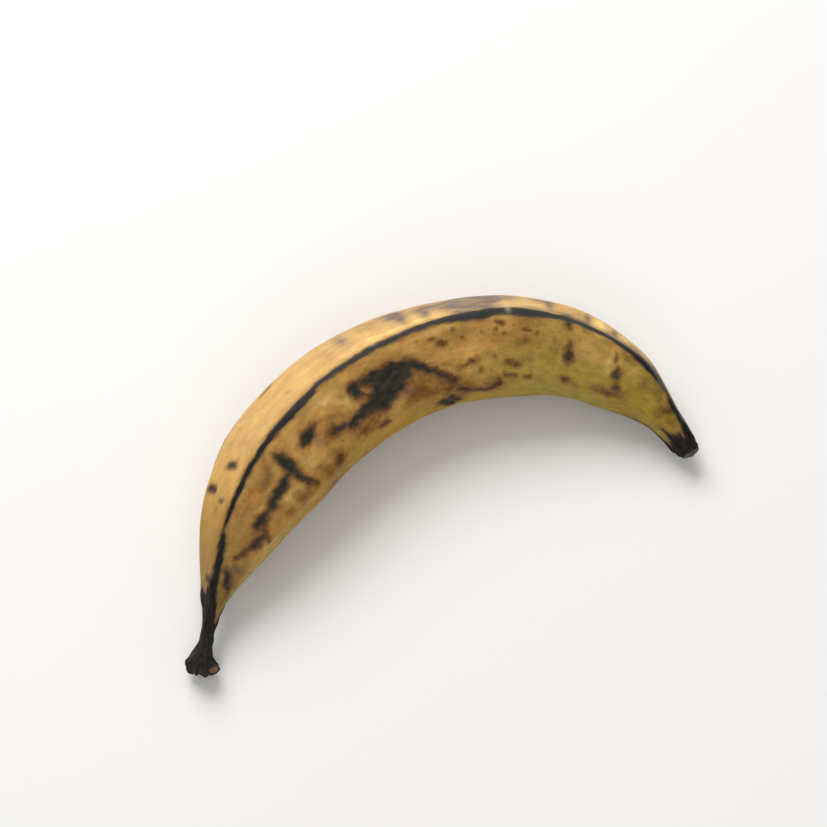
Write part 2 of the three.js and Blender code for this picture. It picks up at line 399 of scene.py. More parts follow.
# %% Dark brown flecks: station mm, angle deg, half width mm
BROWN_STROKES = {
    "stain near the end": [(294.5, 84, 0.9), (295, 96, 1.1), (294, 108, 0.7)],
    "dark hook by the inner ridge": [
        (186.5, 156, 1.2), (190, 159, 1.5), (194, 163, 1.1), (198, 167, 1.6), (202.5, 169.5, 1.5),
        (206, 164, 1.2), (208.5, 157, 1.3), (208.5, 151, 0.8),
    ],
    "dash on the inner ridge": [(211.5, 147.5, 0.8), (214.5, 148.5, 1), (217.5, 147.8, 0.7)],
    "second dash on the inner ridge": [(222, 149.3, 0.7), (225, 148.8, 0.9)],
    "pair of flecks": [(213, 134, 0.9), (215.5, 136, 1), (218.5, 137.5, 1)],
    "great bruise, lower lobe": [(144.5, 137, 1), (148.5, 138.5, 0.9)],
    "great bruise, under the notch": [(139, 110, 1.2), (141.5, 116, 1.4), (143.5, 121, 1.8)],
    "bruise by the inner ridge": [(139.5, 150, 1), (144, 151, 1.4)],
    "great bruise, notch": [(145, 106, 1.8), (148.5, 112, 2.2), (148, 118, 1.8)],
    "dash": [
        (48.5, 121, 1), (51, 128, 0.8), (54, 133.5, 1.1), (57.5, 139, 1.6), (60.5, 141, 1.2),
        (61.5, 146, 0.8),
    ],
    "under the blotch": [(63.5, 136, 1.2), (62, 143, 1.3), (60.8, 151, 0.8)],
    "end of the scar": [(93.8, 140, 1.2), (95.2, 147, 0.9)],
    "smudge by the inner ridge": [(111, 149, 1.1), (113.5, 146, 1.5)],
    "lobe of the ridge line": [(208.5, 86.5, 0.8), (211, 89, 1)],
    "bridge to the round bruise": [(140, 100.5, 2), (143, 101, 2.2), (147, 102, 2.3)],
    "fleck b": [(178.5, 93, 0.8), (180.5, 93.5, 0.7)],
    "fleck c": [(189.3, 89.5, 0.8)],
    "fleck d": [(182, 99.5, 0.7), (184.5, 101.5, 0.9)],
    "fleck e": [(193, 99.5, 0.7)],
    "fleck f": [(207.5, 97, 0.8)],
    "fleck g": [(211.5, 101, 0.7)],
    "fleck h": [(220.5, 94, 0.7), (222.5, 94.3, 0.7)],
    "fleck i": [(225.8, 98, 0.8)],
    "fleck k": [(191, 132.5, 0.5), (195.5, 129.5, 0.9)],
    "fleck l": [(199.4, 140.5, 0.8)],
    "fleck m": [(207, 127.5, 0.7)],
    "tick by the inner ridge": [(243, 147, 1), (245.5, 149, 1)],
    "thread over the bean": [(261.8, 89, 0.5), (262.8, 95, 0.8), (263.2, 101, 0.6)],
    "arc under the bean": [(265, 150, 0.4), (268, 151, 0.8), (271, 149, 0.5)],
    "wedge near the end": [(294.5, 99, 1), (293.5, 108, 0.9)],
    "dot by the shoulder": [(67.8, 51, 0.9), (67.5, 59, 1)],
}
print(len(BROWN_STROKES), "brown strokes")

# %% Faint brown stains: station mm, angle deg, half width mm
FAINT_STROKES = {
    "smudge behind the oval": [(121, 117, 1), (117.5, 122, 2), (113.5, 125.5, 2.2)],
    "end of the oval": [(112.5, 104, 1.8), (117.5, 103, 1.1)],
    "smudge by the inner ridge": [(109.5, 149, 2), (113, 148, 2.6), (115, 142, 1.8)],
    "second smudge": [(102.5, 140, 1.6), (104.5, 147, 1.9)],
    "wisp over the streak": [
        (77.5, 103, 1.3), (81.5, 102.5, 1.8), (84.5, 99, 1.3), (86.5, 91, 1), (88, 86, 0.8),
    ],
    "under the long streak": [(69.5, 131.5, 1.4), (73.5, 131.5, 1.7), (77.5, 132.5, 1.5)],
    "between streak and blotch": [(70.5, 128, 1.4), (74, 129, 1.3)],
    "round the blotch": [(66, 132, 2), (62.5, 140, 2.2), (61.5, 149, 1.8)],
    "stain below the streak": [(84, 139, 1.6), (85.3, 147, 2), (84.5, 153, 1.4)],
    "second stain below the streak": [(75.5, 145, 1.4), (77, 149, 1.3)],
    "round the end of the scar": [(93, 139, 2.1), (95.5, 147, 1.9)],
    "stem side of the dash": [(49, 124, 1.6), (54, 136, 1.6)],
    "great bruise, stalk": [(137, 113, 1.6), (137.3, 121, 1.5)],
    "great bruise, fringe": [(155, 131.5, 2), (160, 130, 2.2), (165, 127, 1.4)],
    "fringe by the inner ridge": [(155, 147, 0.9), (160, 143.5, 1.7), (165, 145, 1.7), (171, 146, 1.5)],
    "inside the tail": [(165.5, 118, 1.4), (167.5, 126, 1.5), (170, 133, 1.3)],
    "past the tail": [(184, 143, 1.4), (189, 150, 1.8), (194, 158, 1.6)],
    "round the hook": [(197, 164, 1.6), (204, 169, 2), (209, 158, 1.6)],
    "above the trail": [(131.5, 101, 1.2)],
    "over the trail": [(121, 109, 1.5), (125, 113, 1.6), (130, 120, 1.2)],
    "line over the pair": [(219.5, 133, 0.9), (224.5, 129.5, 0.8)],
    "round the pair": [(212, 133, 1.6), (219, 138, 1.7)],
    "fleck a": [(172.5, 91, 1)],
    "fleck j": [(182, 127, 0.9)],
    "fleck n": [(234.5, 102, 1.2)],
    "fleck o": [(218, 112, 0.9), (221.5, 108, 1.6)],
    "round fleck d": [(183, 100.5, 1.9)],
    "round fleck k": [(190, 133, 1.5), (198, 129, 1.6)],
    "by the ridge line": [(219, 88, 0.9), (229, 87, 0.9)],
    "tick by the inner ridge": [(243, 147, 1.5), (247, 150, 1.6), (251.5, 155, 1.2)],
    "arc under the bean": [
        (256, 146, 0.9), (262, 148.5, 1.5), (268, 150.5, 2.1), (272, 147, 1.6), (275.5, 138, 1.1),
    ],
    "round the teardrop": [(241, 99, 1.1), (242, 112, 1.8), (243, 121, 3)],
    "round the bean": [(266, 109, 1.5), (267, 120, 2.4), (268.5, 130, 1.6), (270, 137, 1.9)],
    "tick past the bean": [(278.6, 100, 0.9), (278.3, 110, 1.3), (278, 119, 1)],
    "wedge near the end": [(294.5, 99, 1.5), (293.5, 110, 1.5), (292.5, 123, 1.8), (291.5, 132, 1.2)],
    "dot above": [(81, 31, 0.6)],
    "faint dot": [(64.3, 46, 0.8)],
    "round the lower dot": [(72.5, 24, 2)],
    "stain by the stem": [(45.5, 128, 0.9), (44, 142, 1.3), (43, 158, 1.2)],
    "below the line": [(246, 81.5, 1), (249.5, 81, 0.8)],
    "below the line, further": [(256.5, 82, 1), (258, 82.5, 0.9)],
    "below the line, far": [(264.5, 85, 1.1), (267.5, 88, 1.5), (270, 88, 1)],
}
print(len(FAINT_STROKES), "faint strokes")

# %% How deep each point of the skin lies inside the nearest stroke
FAR_OUTSIDE = -6
WANDER = 0.22
WANDER_LENGTH = 5
WANDER_SEEDS = (21, 22, 23)
wander = [lumps(WANDER, WANDER_LENGTH, seed) for seed in WANDER_SEEDS]
wandered = smooth_points + np.stack(wander, axis=1)


def stroke_depth(points, stroke):
    """Depth in millimetres inside one stroke, negative outside it."""
    stations, angles, half_widths = np.array(stroke, float).T
    turns = np.radians(angles)
    spine = point_at(stations, turns, reach_at(stations, turns))
    if len(spine) == 1:
        return half_widths[0] - np.linalg.norm(points - spine[0], axis=1)
    depth = np.full(len(points), float(FAR_OUTSIDE))
    for start, end, start_width, end_width in zip(spine, spine[1:], half_widths, half_widths[1:]):
        step = end - start
        t = np.clip((points - start) @ step / (step @ step), 0, 1)
        gap = np.linalg.norm(points - start - t[:, None] * step, axis=1)
        depth = np.maximum(depth, start_width + (end_width - start_width) * t - gap)
    return depth


def strokes_depth(points, strokes):
    """Depth inside the nearest of many strokes."""
    depth = np.full(len(points), float(FAR_OUTSIDE))
    for stroke in strokes.values():
        depth = np.maximum(depth, stroke_depth(points, stroke))
    return depth


black_depth = strokes_depth(wandered, BLACK_STROKES)
brown_depth = strokes_depth(wandered, BROWN_STROKES)
faint_depth = strokes_depth(wandered, FAINT_STROKES)
print("points inside a bruise:", int((black_depth > 0).sum()))
print("points inside a fleck:", int((brown_depth > 0).sum()))

# %% [markdown]
# ## Pale, brown and grey hazes
#
# Between its marks, the peel goes slowly from pale gold to brown, most of all round the bruises, and on
# the outer flank also to grey, where it was rubbed. Those hazes have no edge, so each is a soft hill:
# where it lies, how long and how wide it is, and how strong. Above zero it is paler than the peel, below
# zero it is browner.

# %% Pale and brown hazes: station mm, angle deg, half length mm, half width mm, strength
HAZES = {
    "pale belly": (123, 94, 7, 5, 0.9),
    "pale before the trail": (132, 112, 3, 4, 0.5),
    "pale before the oval": (103, 91, 8, 4, 0.35),
    "pale below the oval": (103, 128, 6, 4, 0.5),
    "pale past the scar": (98, 112, 2.5, 6, 0.35),
    "pale beside the scar": (88, 104, 2, 4, 0.35),
    "pale under the streak": (81, 133, 5, 2.5, 0.5),
    "pale by the stem": (56, 108, 5, 6, 0.15),
    "pale spot past the crown": (171.5, 95, 2.4, 2.2, 0.8),
    "pale under the ridge": (180, 86, 5, 1.6, 0.7),
    "pale rim": (188.5, 84.5, 3, 1, 0.9),
    "second pale rim": (209.5, 84.5, 3, 1, 0.8),
    "pale by the inner side of the stem": (60, 172, 15, 8, 0.45),
    "pale beside the bar": (38.5, 108, 4, 2.5, 0.3),
    "brown belly, inner part": (184, 128, 7, 6, -0.35),
    "brown over the hook": (206, 145, 8, 6, -0.25),
    "brown past the trail": (130, 143, 4, 3, -0.6),
    "shade on the end": (299.5, 122, 5, 5, -0.7),
    "brown under the line, far end": (287, 88, 5, 3, -0.5),
    "pale far side": (249, 97, 6, 6, 0.3),
    "pale beside the teardrop": (236, 98, 2.5, 4, 0.25),
    "pale before the bean": (262, 106, 2.5, 6, 0.6),
    "pale past the bean": (272, 97, 4, 4, 0.4),
    "pale round the great bruise": (153, 145, 4, 2.2, 0.35),
    "brown notch": (146.5, 112, 2, 3, -0.6),
    "brown in the tail": (166, 124, 4, 3.5, -0.5),
    "brown below the bruise": (165, 142, 8, 4, -0.9),
    "brown below the trail": (138, 142, 9, 4, -0.9),
    "brown over the trail": (119, 119, 4, 4, -0.9),
    "brown under the belly": (121, 106, 3, 3, -0.4),
    "brown inner ridge": (112, 148, 6, 4.5, -0.9),
    "brown inner ridge, stem side": (103, 147, 4, 3, -0.5),
    "brown under the scar": (88, 148, 7, 3.5, -0.6),
    "brown under the streak": (76, 146, 3, 3, -0.5),
    "brown round the dash": (60, 132, 7, 4, -0.7),
    "brown over the streak": (81, 101, 5, 3, -0.35),
    "brown by the ridge": (66, 94, 6, 3, -0.3),
    "brown past the great bruise": (182, 148, 7, 4, -0.7),
    "brown past the crest": (171.5, 108, 6, 7, -0.4),
    "brown round the tail": (176, 133, 5, 5, -0.4),
    "brown past the bruise, inner side": (174, 168, 8, 9, -0.4),
    "brown inside the arch": (188, 168, 9, 8, -0.8),
    "brown round the hook": (203, 165, 7, 5, -0.8),
    "brown between flecks": (186, 103, 5, 3, -0.4),
    "brown above the crest": (150, 93, 9, 2, -0.35),
    "brown cloud": (221, 109, 3.5, 3, -0.45),
    "brown far cloud": (204, 96, 9, 4, -0.3),
    "brown before the teardrop": (236, 112, 3, 5, -0.4),
    "brown round the arc": (266, 149, 7, 2.6, -0.6),
    "brown past the arc": (275, 150, 6, 6, -0.25),
    "brown near the end": (293, 112, 3, 5, -0.6),
    "brown at the inner edge": (106, 178, 9, 9, -0.8),
    "brown at the inner edge, further": (126, 196, 9, 4, -0.4),
    "brown strip of the stem": (33, 150, 7, 4, -0.6),
    # Painted sheen: two pale bands just above the black line on the outer flank.
    "painted sheen over the line": (160, 65, 22, 2.2, 0.7),
    "painted sheen over the line, further": (186, 62, 8, 2, 0.5),
    "pale flank": (126, 52, 7, 8, 0.4),
    "pale flank, before the crown": (157, 58, 3, 6, 0.6),
    "pale flank, first stripe": (165.5, 60, 1.8, 6, 0.6),
    "pale flank, second stripe": (177.3, 58, 1.6, 7, 0.8),
    "pale flank, third stripe": (185, 60, 1.6, 5, 0.7),
    "yellow flank": (213.3, 46, 2.2, 10, 1.2),
    "pale flank, past the crown": (222, 45, 4, 7, 0.5),
    "yellow far flank": (251, 40, 2.4, 9, 1.4),
    "yellow far flank, end": (261, 38, 2.6, 7, 0.7),
    "warm flank, stripe": (242.5, 42, 1.8, 8, -0.35),
    "warm flank": (235.5, 50, 2.4, 8, -0.25),
    "warm flank, by the belly": (140, 34, 4, 6, -0.18),
    "warm flank, by the shoulder": (92, 50, 2.5, 6, -0.15),
    "warm flank, at the line": (236, 64, 3, 2, -0.5),
}
print(len(HAZES), "pale and brown hazes")

# %% Grey hazes: station mm, angle deg, half length mm, half width mm, strength
GREY_HAZES = {
    "before the crown": (148.5, 28, 2.5, 7, 0.9),
    "low before the crown": (160, 22, 4, 5, 0.35),
    "low on the crown": (171, 23, 5, 6, 1),
    "low on the crown, further": (184, 24, 6, 7, 0.9),
    "first stripe of the crown": (172.5, 40, 2, 8, 0.8),
    "second stripe of the crown": (181.8, 46, 1.8, 8, 0.8),
    "past the crown": (191, 40, 3, 8, 0.8),
    "apex": (200, 36, 5.5, 11, 1.2),
    "before the apex, low": (196, 24, 5, 7, 1),
    "apex, thin stripe": (201, 54, 1.2, 7, 0.4),
    "past the apex, low": (214, 22, 6, 6, 0.7),
    "apex, low": (204.5, 24, 7.5, 10, 2.4),
    "stripe past the apex": (231, 36, 1.8, 9, 1),
    "low past the apex": (228, 18, 4, 4, 0.9),
    "spot at the line": (238.8, 60, 2, 3.5, 1),
    "dark stripe": (245.9, 42, 1.3, 8, 1.3),
    "second dark stripe": (257.3, 44, 1.4, 7, 1.2),
    "over the line, before the apex": (195, 67, 4, 2.2, 0.9),
    "over the line, apex": (206, 66, 5, 3, 0.8),
    "over the line": (226, 64, 8, 2.5, 0.6),
    "over the line, further": (243, 61, 7, 2.5, 0.8),
    "over the line, far": (260, 60, 8, 2.6, 0.95),
    "far flank": (267, 52, 3, 5, 0.7),
    "far flank, end": (281, 40, 8, 10, 1.3),
    "behind the oval": (111, 117, 3, 3, 0.5),
    "fringe of the great bruise": (160, 131, 4, 3.5, 0.7),
    "rub on the first third": (118, 49, 1, 2.5, 0.5),
    "streak beside the stem": (44, 140, 1.6, 4, 0.8),
    "wisp over the streak": (84, 98, 3, 3, 0.35),
}
print(len(GREY_HAZES), "grey hazes")


# %% Add the hazes up
def turn_gap(angle):
    """Angle from each point of the skin to a given angle, the short way round, in radians."""
    return (turn - math.radians(angle) + np.pi) % (2 * np.pi) - np.pi


def soft_hills(hazes):
    """Sum of the hills at each point of the skin."""
    total = np.zeros(len(station))
    for hill_station, hill_angle, half_length, half_width, strength in hazes.values():
        along_gap = (station - hill_station) / half_length
        across_gap = smooth_reach * turn_gap(hill_angle) / half_width
        total += strength * np.exp(-(along_gap ** 2) - across_gap ** 2)
    return total


haze = soft_hills(HAZES)
grey_haze = np.minimum(soft_hills(GREY_HAZES), 1)
print("haze runs from", round(float(haze.min()), 2), "to", round(float(haze.max()), 2))

# %% [markdown]
# ## Bruises on the sides turned away
#
# The other sides of a real plantain are marked as much as this one. Their bruises are thrown with a
# seeded dice, so that they fall in the same places each time: long ones lie along the fruit, as the
# pressure of its neighbours leaves them.

# %% Scattered bruises underneath
HIDDEN_STATIONS = (52, 286)
HIDDEN_ANGLES = (216, 372)
STEEPEST_LEAN = 1.2
dice = np.random.default_rng(11)


def thrown_strokes(count, longest, widest):
    """Strokes at random places of the hidden sides; a lean is in degrees for each millimetre."""
    strokes = {}
    for number in range(count):
        start = dice.uniform(*HIDDEN_STATIONS)
        angle = dice.uniform(*HIDDEN_ANGLES)
        length = dice.uniform(1, longest)
        width = dice.uniform(0.5, widest)
        lean = dice.uniform(-STEEPEST_LEAN, STEEPEST_LEAN)
        strokes[number] = [
            (start, angle, width * 0.5),
            (start + length * 0.5, angle + lean * length * 0.5, width),
            (start + length, angle + lean * length, width * 0.6),
        ]
    return strokes


hidden_black = strokes_depth(wandered, thrown_strokes(count=16, longest=13, widest=2.3))
hidden_brown = strokes_depth(wandered, thrown_strokes(count=34, longest=7, widest=1.5))
black_depth = np.maximum(black_depth, hidden_black)
brown_depth = np.maximum(brown_depth, hidden_brown)
print("points inside a bruise with the hidden sides:", int((black_depth > 0).sum()))

# %% [markdown]
# ## Black lines on the ridges
#
# The ridges rub against their neighbours first, so they blacken first. The line on the upper ridge is
# broad and almost unbroken, and the others are thinner and patchy. Each line is a long stroke along its
# ridge. A long straight step would cut through the skin where the fruit bends, so a point is added every
# few millimetres. At two soft spots the line is painted pale, as highlights on the black.

# %% Ridge lines: station mm, angle deg, half width mm
RIDGE_LINES = {
    "outer ridge": [
        (80, 0, 0.2), (90, 0, 0.9), (106, 0, 0.7), (114, 0, 0.1), (124, 0, 0.7), (150, 0, 1),
        (168, 0, 0.2), (186, 0, 0.8), (214, 0, 1), (226, 0, 0.2), (240, 0, 0.8), (262, 0, 1.1),
        (298, 0, 1.6), (LENGTH, 0, 2),
    ],
    "upper ridge, stem": [(30, 88, 1.2), (38, 87.5, 1.35), (45, 86, 1.4), (50, 84, 1.4), (54, 81.5, 1.2)],
    "upper ridge, first half": [
        (54, 81.5, 0.6), (57, 80.5, 0.3), (62, 80, 0.8), (68, 80, 1), (75, 79.6, 1.1), (88, 79, 1.1),
        (95, 79, 1.25), (100, 79, 1.5), (110, 79.6, 1.8), (115, 79, 1.8), (121, 78.5, 1.6),
        (126.5, 76.5, 1.1), (134, 77.6, 1.2), (140, 77.8, 1.3), (152, 77.6, 1.4), (160, 78.3, 1.5),
        (168, 78.2, 1.4),
    ],
    "upper ridge, second half": [
        (168, 78.2, 1.4), (176, 77.6, 1.35), (184, 77.4, 1.45), (190, 77.8, 1.8), (198, 78, 2.3),
        (204, 78, 2.5), (207.5, 76, 2.2), (211, 75.5, 2), (216, 75.3, 2.4), (220, 75.3, 2.6),
        (225, 74.7, 2.3), (231, 73.5, 2.1), (238, 71.5, 1.9), (246, 71.7, 1.8), (254, 72.3, 1.7),
        (261, 73, 1.7), (267, 74, 1.9), (272, 74, 2.1), (278, 71.5, 2), (283, 67, 1.8), (288, 66, 1.7),
        (293, 70, 2), (301, 74, 2), (LENGTH, 77, 2.2),
    ],
    "inner ridge, far end": [(299, 152, 0.3), (304, 152, 1), (LENGTH, 152, 2)],
    "lower ridge, stem": [(28, 211, 1), (58, 211, 0.6), (92, 211, 0.2)],
    "lower ridge, far half": [
        (196, 211, 0.2), (238, 211, 0.7), (283, 211, 1.1), (298, 211, 1.6), (LENGTH, 211, 2),
    ],
    "under ridge": [
        (28, 287, 1.2), (58, 287, 1), (118, 287, 1.3), (178, 287, 0.8), (228, 287, 1.2), (278, 287, 1.1),
        (298, 287, 1.6), (LENGTH, 287, 2),
    ],
}
print(len(RIDGE_LINES), "lines on the ridges")

# %% Painted highlights on the ridge line: station mm, angle deg, half length mm, half width mm, strength
LINE_HIGHLIGHTS = {
    "highlight on the line": (213.6, 71.5, 1.1, 2.6, 0.65),
    "glint on the line": (155.5, 73, 1.4, 1.2, 0.5),
}
LINE_STEP = 6


def followed(stroke):
    """The same stroke with a point every few millimetres, so that it follows the arch."""
    stations, angles, half_widths = np.array(stroke, float).T
    steps = int((stations[-1] - stations[0]) / LINE_STEP)
    close = np.union1d(np.linspace(stations[0], stations[-1], steps + 2), stations)
    return list(zip(close, np.interp(close, stations, angles), np.interp(close, stations, half_widths)))


followed_lines = {name: followed(stroke) for name, stroke in RIDGE_LINES.items()}
ridge_depth = strokes_depth(smooth_points, followed_lines)
# Soft spots where the black line is painted pale, as highlights.
line_highlight = soft_hills(LINE_HIGHLIGHTS)
print("points on a black ridge:", int((ridge_depth > 0).sum()))

# %% [markdown]
# ## Where the peel has dried
#
# The stem is dry and black from the foot to where the fruit swells. The edge runs further along some
# ridges in tongues, and on the inner side a strip of peel stays golden almost down to the thinnest place.
# The blossom end is dry too, for its last few millimetres.

# %% Depth inside the dry parts: angle deg, then length mm and half width deg of each tongue
STEM_DRY_TO = 34
END_DRY_FROM = 306
DEEPEST_KEPT = 12
STEM_TONGUES = {10: (1, 20), 42: (-2.5, 14), 80: (3, 12), 150: (-13, 31), 211: (-3, 20), 287: (4, 20)}
END_TONGUES = {77: (5, 16), 139: (1.5, 12), 211: (3, 16), 287: (4, 16)}
BARE_STROKE = [(0, 128, 0.9), (0.7, 148, 1.6), (1.5, 169, 1.1)]


def tongue_lengths(tongues):
    """How far the edge is moved at each point of the skin, in millimetres."""
    return sum(
        length * np.exp(-(turn_gap(angle) / math.radians(half_angle)) ** 2)
        for angle, (length, half_angle) in tongues.items()
    )


stem_edge = STEM_DRY_TO + tongue_lengths(STEM_TONGUES)
end_edge = END_DRY_FROM - tongue_lengths(END_TONGUES)
dry_depth = np.maximum(stem_edge - station, station - end_edge)
dry_depth = np.clip(dry_depth, -DEEPEST_KEPT, DEEPEST_KEPT)
bare_depth = stroke_depth(smooth_points, BARE_STROKE)
print("dry skin:", round(100 * float((dry_depth > 0).mean())), "% of the points")

# %% [markdown]
# ## Relief
#
# Under its colours the skin isn't smooth. The ridges carry a low bead, the belly has slow swells, a
# bruise sinks a little, and the dry stem shrinks into lengthwise wrinkles. A displacement modifier with
# a texture could do this, but the seeded waves are as quick, and they never depend on a texture.

# %% Height of the skin above the smooth section, in millimetres
RIDGE_BEAD_HEIGHT = 0.3
RIDGE_BEAD_HALF_WIDTH = 2.2
BRUISE_SINK = 0.28
FLECK_SINK = 0.1
WRINKLED_REACH = 5
on_belly = ramp(30, 60, station) * (1 - ramp(296, 310, station))
dryness = ramp(-4, 6, dry_depth)

bead = np.zeros(len(station))
for ridge_angle in RIDGE_ANGLES:
    gap = smooth_reach * turn_gap(ridge_angle)
    bead = np.maximum(bead, np.exp(-(gap / RIDGE_BEAD_HALF_WIDTH) ** 2))
bead_wear = 1 + lumps(0.35, 14, seed=2)
swells = lumps(0.3, 46, seed=3, stretch=1.6)
swells += lumps(0.13, 17, seed=4, stretch=2.2)
swells += lumps(0.045, 6.5, seed=5, stretch=3)
wrinkles = np.minimum(1, smooth_reach / WRINKLED_REACH) * lumps(0.24, 3.4, seed=7, stretch=9)
wrinkles += lumps(0.12, 2.2, seed=8, stretch=2.5)

relief = on_belly * (RIDGE_BEAD_HEIGHT * bead * bead_wear + swells)
relief -= BRUISE_SINK * ramp(-1.2, 2.4, black_depth) * (1 + lumps(0.5, 5, seed=6))
relief -= FLECK_SINK * ramp(-0.8, 1.2, brown_depth)
relief += dryness * wrinkles
print("relief runs from", round(float(relief.min()), 2), "to", round(float(relief.max()), 2), "mm")

# %% [markdown]
# ## Torn foot and blossom end
#
# The foot is a lumpy crown with a broken face: torn fibres stand at different heights round a shallow
# hollow. The other end closes with a low corky cap behind a small groove. Both are the same grid, with
# its rows drawn in towards the middle and pushed in or out along the centreline.

# %% Shape of the two ends
FOOT_HOLLOW = 1.6
CAP_HEIGHT = 1.2
CAP_GROOVE = 0.5
GROOVE_AT = LENGTH - 3.4
GROOVE_HALF_WIDTH = 1.1
CORKY_FROM = LENGTH - 2.4

crown = (1 - ramp(4, 13, station)) * (end_side < 1)
relief += crown * share * (lumps(0.3, 6, seed=9, stretch=1.5) + lumps(0.16, 2.6, seed=10))
relief -= CAP_GROOVE * np.exp(-((station - GROOVE_AT) / GROOVE_HALF_WIDTH) ** 2)
relief += (station > CORKY_FROM) * lumps(0.12, 2.6, seed=12)

fibres = lumps(0.55, 1.9, seed=13) + lumps(0.35, 4.5, seed=14)
foot_push = (end_side < 0) * (FOOT_HOLLOW * (1 - share ** 3) + fibres * (1 - share ** 6))
cork = lumps(0.16, 2, seed=15)
cap_push = (end_side > 0) * (CAP_HEIGHT * (1 - share ** 2) + cork * (1 - share ** 4))
rim_raggedness = lumps(0.5, 3.2, seed=16) * (1 - ramp(0, 3, station)) * (end_side < 1)

reach = (smooth_reach + relief) * share
points = point_at(station, turn, reach, foot_push + cap_push + rim_raggedness * share)
deepest, furthest = float(foot_push.min()), float(foot_push.max())
print("foot face is pushed by", round(deepest, 1), "to", round(furthest, 1), "mm")

# %% [markdown]
# ## Laid down
#
# The fruit leans until its belly, its flank and its foot touch the table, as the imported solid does. It
# is then centred on the solid's box, and the little that would sink into the table is pressed flat.

# %% Lean, centre and press flat
REST_TILT = math.radians(8.36)
REST_ROLL = math.radians(1.62)
FLAT_DEPTH = 0.35

tilt = np.array([
    [1, 0, 0],
    [0, math.cos(REST_TILT), -math.sin(REST_TILT)],
    [0, math.sin(REST_TILT), math.cos(REST_TILT)],
])
roll = np.array([
    [math.cos(REST_ROLL), 0, math.sin(REST_ROLL)],
    [0, 1, 0],
    [-math.sin(REST_ROLL), 0, math.cos(REST_ROLL)],
])
lean = roll @ tilt

box_low, box_high = (np.array(corner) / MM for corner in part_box("plantain"))
smooth_laid = smooth_points @ lean.T
smooth_low, smooth_high = smooth_laid.min(axis=0), smooth_laid.max(axis=0)
shift = (box_low + box_high - smooth_low - smooth_high) / 2
shift[2] = -smooth_low[2] - FLAT_DEPTH
laid = points @ lean.T + shift
laid[:, 2] = np.maximum(laid[:, 2], 0)
print("points pressed flat:", int((laid[:, 2] == 0).sum()))
print("highest point:", round(float(laid[:, 2].max()), 1), "mm")

# %% [markdown]
# ## The mesh
#
# Four neighbours of the grid make a face, and a fan closes each end. The skin also gets a flat map for
# baking, cut along the underside where the seam is least seen, with each end's disc beside it.

# %% Faces
rows = len(row_station)
grid = np.arange(rows * COLUMNS).reshape(rows, COLUMNS)
beside = np.roll(grid, -1, axis=1)
quads = np.stack([grid[:-1], beside[:-1], beside[1:], grid[1:]], axis=-1).reshape(-1, 4)


def closing_point(ring):
    """Middle of an end ring, where its fan of triangles meets."""
    return laid[ring].mean(axis=0)


foot_middle = len(laid)
end_middle = foot_middle + 1
all_points = np.vstack([laid, closing_point(grid[0]), closing_point(grid[-1])])
fans = [(foot_middle, int(b), int(a)) for a, b in zip(grid[0], beside[0])]
fans += [(end_middle, int(a), int(b)) for a, b in zip(grid[-1], beside[-1])]

skin = bpy.data.meshes.new("plantain_skin")
skin.from_pydata((all_points * MM).tolist(), [], quads.tolist() + fans)
skin.polygons.foreach_set("use_smooth", [True] * len(skin.polygons))
fruit = bpy.data.objects.new("plantain_skin", skin)
scene.collection.objects.link(fruit)
print("skin:", len(skin.vertices), "points,", 2 * len(quads) + len(fans), "triangles")

# %% Flat map for baking
FLAT_MARGIN = 0.01
DISC_RADIUS = 0.05
FOOT_DISC = np.array([0.07, 0.06])
END_DISC = np.array([0.2, 0.06])
SKIN_BAND = (0.13, 0.99)


def map_corners(row, column):
    """Place on the flat map of a grid point; column runs on to COLUMNS past the seam."""
    ring_row = np.clip(row - CAP_ROWS, 0, len(ring_stations) - 1)
    u = FLAT_MARGIN + (1 - 2 * FLAT_MARGIN) * ring_row / (len(ring_stations) - 1)
    v = SKIN_BAND[0] + (SKIN_BAND[1] - SKIN_BAND[0]) * column / COLUMNS
    return np.stack([u, v], axis=-1)


def disc_corners(row, column, middle):
    """Place on the flat map of a point of an end's disc."""
    angle = 2 * np.pi * column / COLUMNS
    radius = DISC_RADIUS * row_share[row]
    return middle + np.stack([radius * np.cos(angle), radius * np.sin(angle)], axis=-1)


def fan_corners(row, first, second, middle):
    """Corners of the triangles round an end's middle, each on two neighbours of the ring."""
    columns = np.arange(COLUMNS)
    ring = disc_corners(row, columns + first, middle), disc_corners(row, columns + second, middle)
    return np.stack([np.tile(middle, (COLUMNS, 1)), *ring], axis=1)


quad_row = np.repeat(np.arange(rows - 1), COLUMNS)
quad_column = np.tile(np.arange(COLUMNS), rows - 1)
corner_rows = quad_row[:, None] + np.array([0, 0, 1, 1])
corner_columns = quad_column[:, None] + np.array([0, 1, 1, 0])
on_foot = quad_row < CAP_ROWS
on_end = quad_row >= rows - 1 - CAP_ROWS
quad_map = map_corners(corner_rows, corner_columns)
quad_map[on_foot] = disc_corners(corner_rows[on_foot], corner_columns[on_foot], FOOT_DISC)
quad_map[on_end] = disc_corners(corner_rows[on_end], corner_columns[on_end], END_DISC)

fan_map = np.concatenate([fan_corners(0, 1, 0, FOOT_DISC), fan_corners(rows - 1, 0, 1, END_DISC)])
flat_map = skin.uv_layers.new(name="OFBake")
flat_map.data.foreach_set("uv", np.concatenate([quad_map.ravel(), fan_map.ravel()]))
mapped = quad_map.reshape(-1, 2)
print("flat map covers", mapped.min(axis=0).round(2), "to", mapped.max(axis=0).round(2))

# %% [markdown]
# ## What the skin remembers
#
# A material can read values that are stored on the points of a mesh. The skin stores its depths inside
# marks, ridges and dry parts, and the fruit's own straightened coordinates, so that grain can run along
# the fruit however it bends.

# %% Store values on the points
def remember(layers):
    """Store values on the points; the two closing points take the mean of their ring."""
    for name, values in layers.items():
        ends = [values[grid[0]].mean(), values[grid[-1]].mean()]
        layer = skin.attributes.new(name, "FLOAT", "POINT")
        layer.data.foreach_set("value", np.concatenate([values, ends]).astype(np.float32))


